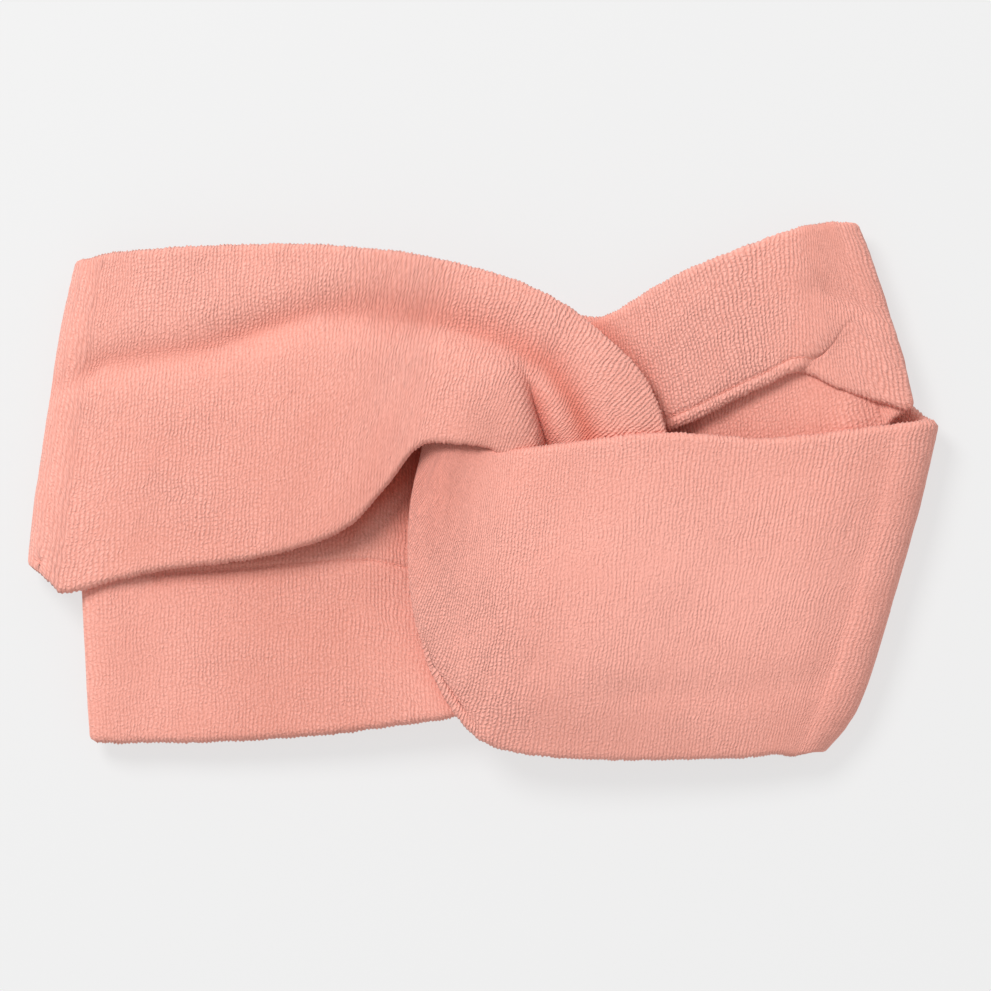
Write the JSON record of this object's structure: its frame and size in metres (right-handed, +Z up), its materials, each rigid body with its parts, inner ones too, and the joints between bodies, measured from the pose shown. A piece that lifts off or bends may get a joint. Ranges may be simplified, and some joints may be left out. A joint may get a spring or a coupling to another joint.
{
  "type": "clasped twist terry spa headband",
  "caption": "Wide stretch terry spa headband lying flat, two looped tubes hooked together in a twist at the front and joined by a seam at the nape.",
  "frame": {"origin": "on the resting surface, centred under the whole headband", "axes": "+Z up from the surface it lies on, +X from the left loop to the right loop, +Y toward the crown edge of the band"},
  "size_m": [0.2347, 0.1392, 0.0247],
  "materials": {
    "terry": "looped pile, matte",
    "seam_thread": "matte thread"
  },
  "bodies": {
    "root": {"left_band": "terry", "right_band": "terry", "left_tube_seam": "seam_thread", "right_tube_seam": "seam_thread", "nape_seam": "seam_thread"}
  },
  "joints": []
}
